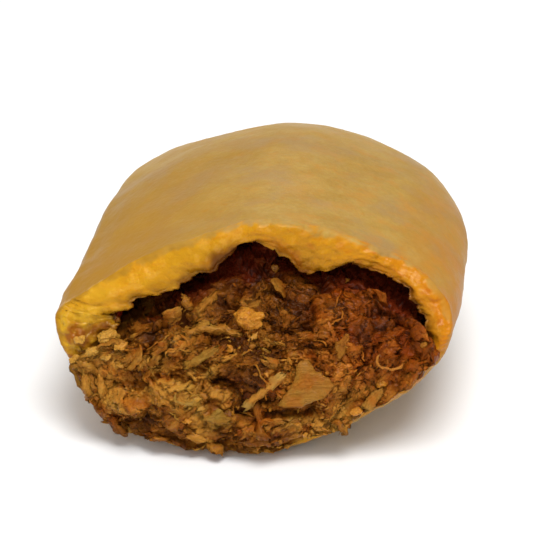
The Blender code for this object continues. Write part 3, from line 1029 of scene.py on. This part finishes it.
def shred_body(path, lift, width, thickness, sides, groove, ragged, bluntness, rng):
    """One shred: a fluted body of fibres along a path, torn off raggedly at both ends."""
    rings = len(path)
    heading = np.gradient(path, axis=0)
    heading /= length_of(heading)
    side = np.cross(heading, lift)
    side /= length_of(side) + 1e-12
    up = np.cross(side, heading)
    share = np.linspace(-1, 1, rings)
    girth = 0.72 + 0.28 * np.sqrt(np.maximum(1 - np.abs(share) ** bluntness, 0.0))
    turn = math.tau * np.arange(sides) / sides
    turn = turn[None, :] + (rng.uniform(-0.5, 0.5) * share)[:, None]
    flutes = rng.uniform(0.2, 1.0, sides) * np.where(np.arange(sides) % 2, -groove, groove)
    body = girth[:, None] * (1 + flutes[None, :] + rng.normal(0, 0.07, (rings, sides)))
    grid = path[:, None] + side[:, None] * (body * np.cos(turn) * width / 2)[..., None]
    grid = grid + up[:, None] * (body * np.sin(turn) * thickness / 2)[..., None]
    jag = rng.normal(0, ragged, (2, sides))
    near_end = np.abs(share) ** 3
    pull = np.where(share[:, None] < 0, jag[0], jag[1]) * near_end[:, None]
    grid = grid + heading[:, None] * pull[..., None]
    first = grid[0].mean(0) + heading[0] * 0.10 * width
    last = grid[-1].mean(0) - heading[-1] * 0.10 * width
    points = np.vstack([grid.reshape(-1, 3), first, last])
    run = np.concatenate([[0.0], np.cumsum(np.linalg.norm(np.diff(path, axis=0), axis=1))])
    around = np.cos(turn) * width / 2 + np.sin(turn) * thickness / 2
    seed = rng.uniform(0, 1)
    grain = np.stack([around, np.broadcast_to(run[:, None], around.shape), np.full(around.shape, seed)], -1)
    grain = np.vstack([grain.reshape(-1, 3), np.zeros((2, 3))])
    return points, loft_faces(rings, sides), grain


def creep(tree, start, normal, heading, length, steps, rise, lift_end, wander, rng):
    """A path that creeps over the heap at a height above it, and may lift off at its far end."""
    spot, path, lifts = np.array(start), [], []
    normal = np.array(normal)
    stride = length / (steps - 1)
    bend = rng.normal(0, wander)
    spot = spot - heading * length / 2
    for step in range(steps):
        found, facing, _, _ = tree.find_nearest(Vector(spot))
        found, facing = np.array(found), np.array(facing)
        normal = unit(normal * 0.6 + facing * 0.4)
        share = step / (steps - 1)
        path.append(found + normal * (rise + lift_end * share**2))
        lifts.append(normal)
        heading = unit(heading - normal * float(heading @ normal))
        heading = unit(heading + np.cross(normal, heading) * bend * stride / MM)
        spot = found + heading * stride
    path = np.array(path)
    path[1:-1] = (path[:-2] + 2 * path[1:-1] + path[2:]) / 4
    return path, np.array(lifts)


# Directions from which the bits are dropped on to the heap, each with its share
DROPS = ((7, 28, 0.42), (0, 4, 0.24), (45, 16, 0.12), (-40, 14, 0.12), (5, -30, 0.10))
HEAP_CENTRE = np.array((0.0, HEAP_Y, 0.018)) + FIT
DROP_HALF_WIDTH = 0.036
DROP_HALF_HEIGHT = 0.022
ROOF_CLEAR = 0.0035
ROOFED_Z = 0.016


def landing(core_tree, masa_tree, rng):
    """A random open spot on the heap, with its normal."""
    shares = [drop[2] for drop in DROPS]
    while True:
        azimuth, elevation, _ = DROPS[rng.choice(len(DROPS), p=np.array(shares) / sum(shares))]
        toward, right, up = view_axes(azimuth, elevation)
        x, y = rng.uniform(-1, 1, 2)
        start = HEAP_CENTRE + right * x * DROP_HALF_WIDTH + up * y * DROP_HALF_HEIGHT + toward * CAST_FROM
        hit = core_tree.ray_cast(Vector(start), Vector(-toward))
        if hit[0] is None:
            continue
        wall = masa_tree.ray_cast(Vector(start), Vector(-toward))
        roof = masa_tree.find_nearest(hit[0])
        clear = roof[3] > ROOF_CLEAR or roof[0].z < hit[0].z or hit[0].z < ROOFED_Z
        if clear and (wall[0] is None or wall[3] > hit[3]):
            return np.array(hit[0]), np.array(hit[1])


def tone_at(spot, rng):
    """How pale the meat is there, 0 to 1, darker high up near the masa's roof with painted shade."""
    tone = 0.60 + 0.8 * float(paler(*in_view(spot))) - 0.06 * (spot[2] > 0.024)
    return float(np.clip(tone + rng.normal(0, 0.08), 0.12, 0.95))


# How each kind of shred is cut: number, length, width, thickness as a share of the width, sides, steps,
# flute depth, raggedness, bluntness, height above the core, lift at the far end
LONG_SHREDS = (64, (6.0, 11.0), (0.9, 1.9), (0.4, 0.7), 18, 20, 0.30, 0.50, 6.0, (-0.75, 0.05), (0.0, 0.5))
CHUNKS = (38, (2.8, 4.6), (1.0, 2.0), (0.5, 0.9), 18, 12, 0.30, 0.45, 6.0, (-1.0, -0.1), (0.0, 0.2))
FIBRES = (80, (2.0, 6.0), (0.16, 0.32), (0.6, 1.0), 5, 13, 0.05, 0.10, 3.0, (-0.1, 0.3), (0.0, 0.9))


def scatter_shreds(plan, core_tree, masa_tree, rng, tone_shift=0.0):
    count, lengths, widths, thins, sides, steps, groove, ragged, blunt, rises, lifts = plan
    bits = Bits()
    for _ in range(count):
        spot, normal = landing(core_tree, masa_tree, rng)
        heading = lay_direction(spot, normal, rng)
        length, width = rng.uniform(*lengths) * MM, rng.uniform(*widths) * MM
        lift_end = rng.uniform(*lifts) * MM * (rng.random() < 0.4)
        rise = rng.uniform(*rises) * MM
        path, ups = creep(core_tree, spot, normal, heading, length, steps, rise, lift_end, 0.05, rng)
        roll = rng.normal(0, 0.5)
        sideways = np.cross(ups, unit(path[-1] - path[0]))
        ups = ups * math.cos(roll) + sideways * math.sin(roll)
        thickness = width * rng.uniform(*thins)
        body = shred_body(path, ups, width, thickness, sides, groove, ragged * MM, blunt, rng)
        bits.add(body, float(np.clip(tone_at(spot, rng) + tone_shift, 0, 1)))
    return bits


def pebble_form(divisions):
    bm = bmesh.new()
    bmesh.ops.create_icosphere(bm, subdivisions=divisions, radius=1.0)
    bm.verts.ensure_lookup_table()
    points = np.array([v.co for v in bm.verts])
    faces = [tuple(v.index for v in f.verts) for f in bm.faces]
    bm.free()
    return points, faces


def crumb_body(form, spot, normal, size, flatness, rng, way=None):
    """A lumpy crumb that rests on the heap, with its long side along the way given."""
    points, faces = form
    seed = rng.uniform(0, 100)
    lumpy, breadth = (1.0, rng.uniform(0.6, 0.95)) if way is None else (0.5, 0.58)
    lumps = 1.0 + lumpy * (0.55 * ripple(points, 0.9, seed) + 0.25 * ripple(points, 0.4, seed))
    body = points * lumps[:, None] * np.array((1.0, breadth, flatness)) * size / 2
    up = unit(np.array(normal) + rng.normal(0, 0.35, 3))
    side = unit(np.cross(up, rng.normal(0, 1, 3))) if way is None else unit(way - up * float(way @ up))
    turned = body @ np.array([side, np.cross(up, side), up])
    return turned + spot, faces, body + seed * MM


def scatter_crumbs(count, sizes, divisions, core_tree, masa_tree, rng, rises=(0.3, 1.4), tone_shift=0.0):
    bits = Bits()
    form = pebble_form(divisions)
    for _ in range(count):
        spot, normal = landing(core_tree, masa_tree, rng)
        size = rng.uniform(*sizes) * MM
        spot = spot + normal * rng.uniform(*rises) * MM
        body = crumb_body(form, spot, normal, size, rng.uniform(0.5, 0.9), rng)
        bits.add(body, float(np.clip(tone_at(spot, rng) + tone_shift, 0, 1)))
    return bits


def flake_body(spot, normal, heading, length, width, thickness, rng, outline=None):
    """A thin flat flake of meat with a ragged outline and fibres along its length."""
    columns = 26
    angle = np.arange(columns) * math.tau / columns
    if outline is None:
        outline = 1.0 + 0.3 * ring_ripple(angle, 1.6, rng.uniform(0, 50))
    else:
        outline = between(outline, angle)
    edge = outline + 0.14 * ring_ripple(angle, 4.5, rng.uniform(0, 50))
    side = unit(np.cross(normal, heading))
    heading = unit(np.cross(side, normal))
    curl = rng.normal(0, 0.05, 3)
    rows = []
    for height, shares in ((1, (0.22, 0.5, 0.75, 0.92)), (0, (1.0,)), (-1, (0.92, 0.6, 0.22))):
        for share in shares:
            u = np.cos(angle) * edge * share * length / 2
            v = np.sin(angle) * edge * share * width / 2
            ridges = 0.10 * MM * np.sin(v / (0.16 * MM)) * (1 - share**4)
            dome = (curl[0] * u * u + curl[1] * v * v) / MM + curl[2] * u
            w = height * thickness / 2 * (1 - share**6 * 0.6) + ridges * (height > 0) + dome
            rows.append(np.stack([u, v, w], -1))
    flat = np.array(rows)[::-1]
    grid = spot + flat[..., :1] * heading + flat[..., 1:2] * side + flat[..., 2:] * normal
    points = np.vstack([grid.reshape(-1, 3), grid[0].mean(0), grid[-1].mean(0)])
    flat = np.vstack([flat.reshape(-1, 3), np.zeros((2, 3))])
    grain = np.stack([flat[:, 1], flat[:, 0], flat[:, 2] + rng.uniform(0, 1)], -1)
    return points, loft_faces(len(rows), columns), grain


def scatter_flakes(count, core_tree, masa_tree, rng):
    bits = Bits()
    for _ in range(count):
        spot, normal = landing(core_tree, masa_tree, rng)
        heading = lay_direction(spot, normal, rng)
        length = rng.uniform(2.6, 5.5) * MM
        tilt = unit(normal + rng.normal(0, 0.28, 3))
        raised = spot + normal * rng.uniform(0.6, 1.5) * MM
        width, thickness = length * rng.uniform(0.45, 0.8), rng.uniform(0.35, 0.7) * MM
        body = flake_body(raised, tilt, heading, length, width, thickness, rng)
        bits.add(body, tone_at(spot, rng) + 0.06)
    return bits


def faced(across, up, *trees):
    """The food's surface so many millimetres across and up in the front view, and its normal."""
    start = Vector(RIGHT * across * MM + UPWARD * up * MM + TOWARD * CAST_FROM)
    hits = [tree.ray_cast(start, Vector(-TOWARD)) for tree in trees]
    hit = min((hit for hit in hits if hit[0] is not None), key=lambda hit: hit[3])
    return np.array(hit[0]), np.array(hit[1])


def swept(degrees):
    return RIGHT * math.cos(math.radians(degrees)) + UPWARD * math.sin(math.radians(degrees))


# The bits that stand out. Place across and up, size in mm, way in degrees, and shade where they differ
BIG_FLAKES = (
    *((5.2, -3.8, 9.0, 8.6, 6, 0.55), (-9.5, -9.0, 5.0, 3.0, -10, 0.52), (11.0, 3.0, 4.5, 2.6, 60, 0.50)),
)
FLAKE_OUTLINE = (1.0, 0.72, 0.70, 1.05, 0.72, 0.60, 0.66, 1.25, 0.90, 0.68, 0.66, 0.80)
STRIPS = (
    *((-1.8, -4.4, 8.6, 1.5, 41, 0.84), (16.0, -6.0, 4.2, 1.6, 55, 0.60), (-12.0, 1.0, 6.0, 1.5, 30, 0.50)),
)
CURLS = ((19.0, 0.6, 2.0, 0.70), (-15.0, -5.5, 1.5, 0.60))
BIG_CRUMBS = (
    *((-4.3, 7.3, 5.6, 0.9), (13.5, -8.0, 1.9, 0.8), (-14.5, -9.5, 2.0, 0.7), (17.5, -3.5, 1.6, 0.6)),
    *((-27.6, 4.4, 3.6, 0.75), (-30.4, 1.9, 2.6, 0.6), (-25.6, 2.8, 2.2, 0.55), (-32.3, 3.8, 2.0, 0.7)),
    *((-29.0, 3.3, 1.8, 0.6), (-33.2, 0.6, 2.0, 0.5), (-28.0, 0.9, 1.7, 0.45)),
)


def laid_over(across, up, length, way, tree):
    """A straight path over the heap, clear of what it crosses."""
    shares = np.linspace(-0.5, 0.5, 15) * length
    ways = math.cos(math.radians(way)), math.sin(math.radians(way))
    spots = np.array([faced(across + share * ways[0], up + share * ways[1], tree)[0] for share in shares])
    depth = spots @ TOWARD
    line = np.polyval(np.polyfit(shares, depth, 1), shares)
    lift = line - depth + np.quantile(depth - line, 0.8) + 0.35 * MM
    return spots + lift[:, None] * TOWARD, np.broadcast_to(TOWARD, spots.shape)


def curled(across, up, radius, tree):
    """The path of a fibre that stands off the heap in an open loop."""
    spot, _ = faced(across, up, tree)
    turn = np.linspace(2.6, 5.9, 26)
    ring = np.cos(turn)[:, None] * RIGHT * 1.1 + np.sin(turn)[:, None] * UPWARD * 0.8
    path = spot + TOWARD * 1.5 * MM + ring * radius * MM + TOWARD * (0.12 * turn * MM)[:, None]
    return path, np.broadcast_to(TOWARD, path.shape)


def standout_meat(tree, rng):
    bits = Bits()
    for across, up, length, width, way, tone in BIG_FLAKES:
        spot, normal = faced(across, up, tree)
        spot, lean = spot + TOWARD * 0.13 * length * MM, unit(normal * 0.25 + TOWARD * 0.75)
        body = flake_body(spot, lean, swept(way), length * MM, width * MM, 0.9 * MM, rng, FLAKE_OUTLINE)
        bits.add(body, tone)
    for across, up, length, width, way, tone in STRIPS:
        path, ups = laid_over(across, up, length, way, tree)
        bits.add(shred_body(path, ups, width * MM, width * 0.6 * MM, 16, 0.14, 0.35 * MM, 5.0, rng), tone)
    for across, up, radius, tone in CURLS:
        path, ups = curled(across, up, radius, tree)
        bits.add(shred_body(path, ups, 0.42 * MM, 0.32 * MM, 8, 0.06, 0.05 * MM, 4.0, rng), tone)
    return bits


def standout_crumbs(trees, rng):
    bits = Bits()
    form = pebble_form(4)
    for across, up, size, tone in BIG_CRUMBS:
        spot, _ = faced(across, up, *trees)
        spot = spot + TOWARD * 0.20 * size * MM
        bits.add(crumb_body(form, spot, TOWARD, size * MM, 0.5, rng, swept(8)), tone)
    return bits


# Light, floor and camera

VIEW_DISTANCE = 0.70
FRAME_WIDTH = 0.0945  # what the picture takes in, at the tamale
LOOK_AT = Vector((0.0, 0.0, 0.0165))


def soft_light(name, azimuth, elevation, distance, size, power, colour=(1, 1, 1)):
    lamp = bpy.data.lights.new(name, "AREA")
    lamp.shape = "DISK"
    lamp.size = size
    lamp.energy = power
    lamp.color = colour
    light = bpy.data.objects.new(name, lamp)
    direction = Vector(facing_from(azimuth, elevation))
    light.location = LOOK_AT + direction * distance
    light.rotation_euler = direction.to_track_quat("Z", "Y").to_euler()
    bpy.context.scene.collection.objects.link(light)


def set_stage():
    bm = bmesh.new()
    bmesh.ops.create_grid(bm, x_segments=1, y_segments=1, size=6.0)
    mesh = bpy.data.meshes.new("studio_floor")
    bm.to_mesh(mesh)
    bm.free()
    floor = bpy.data.objects.new("studio_floor", mesh)
    bpy.context.scene.collection.objects.link(floor)
    paint = bpy.data.materials.new("pale_floor")
    paint.use_nodes = True
    shader = paint.node_tree.nodes["Principled BSDF"]
    shader.inputs["Base Color"].default_value = (0.86, 0.86, 0.86, 1)
    shader.inputs["Roughness"].default_value = 0.8
    mesh.materials.append(paint)
    world = bpy.data.worlds.new("studio_air")
    world.use_nodes = True
    world.node_tree.nodes["Background"].inputs["Color"].default_value = (1, 1, 1, 1)
    world.node_tree.nodes["Background"].inputs["Strength"].default_value = 0.38
    bpy.context.scene.world = world
    bpy.context.scene.view_settings.view_transform = "Standard"
    soft_light("overhead_softbox", 22, 66, 0.9, 0.5, 7.8)
    soft_light("front_softbox", -6, 32, 1.0, 0.5, 2.0)
    soft_light("rear_softbox", 190, 48, 1.0, 0.5, 1.8)


def set_camera():
    lens = bpy.data.cameras.new("front_camera")
    lens.sensor_width = 36.0
    lens.lens = lens.sensor_width * VIEW_DISTANCE / FRAME_WIDTH
    lens.clip_start = 0.01
    camera = bpy.data.objects.new("front_camera", lens)
    direction = Vector(facing_from(*VIEW))
    camera.location = LOOK_AT + direction * VIEW_DISTANCE
    camera.rotation_euler = direction.to_track_quat("Z", "Y").to_euler()
    bpy.context.scene.collection.objects.link(camera)
    bpy.context.scene.camera = camera


# Making

set_stage()
set_camera()
masa_tree = masa_piece(masa_material())
beef = beef_material("shredded_beef", (MEAT_DARK, MEAT_MIDDLE, MEAT_PALE), 0.5, 0.30)
crumb = crumb_material()
core_tree = core_piece(beef)
rng = np.random.default_rng(11)
scatter_shreds(LONG_SHREDS, core_tree, masa_tree, rng).build("beef_shreds", beef, "shredded_beef")
scatter_shreds(CHUNKS, core_tree, masa_tree, rng).build("beef_chunks", beef, "shredded_beef")
scatter_shreds(FIBRES, core_tree, masa_tree, rng, 0.12).build("beef_fibres", beef, "shredded_beef")
scatter_flakes(7, core_tree, masa_tree, rng).build("beef_flakes", beef, "shredded_beef")
beef_crumbs = scatter_crumbs(170, (0.35, 1.0), 2, core_tree, masa_tree, rng, (-0.25, 0.2))
beef_crumbs.build("beef_crumbs", beef, "shredded_beef")
masa_crumbs = scatter_crumbs(22, (0.6, 1.4), 3, core_tree, masa_tree, rng, (-0.1, 0.4), -0.22)
masa_crumbs.build("masa_crumbs", crumb, "masa")
tan_beef = beef_material("tan_beef", (TAN_DARK, TAN_MIDDLE, TAN_PALE), 0.35, 0.35)
standout_meat(core_tree, rng).build("beef_standouts", tan_beef, "shredded_beef")
standout_crumbs((core_tree, masa_tree), rng).build("masa_standouts", crumb, "masa")
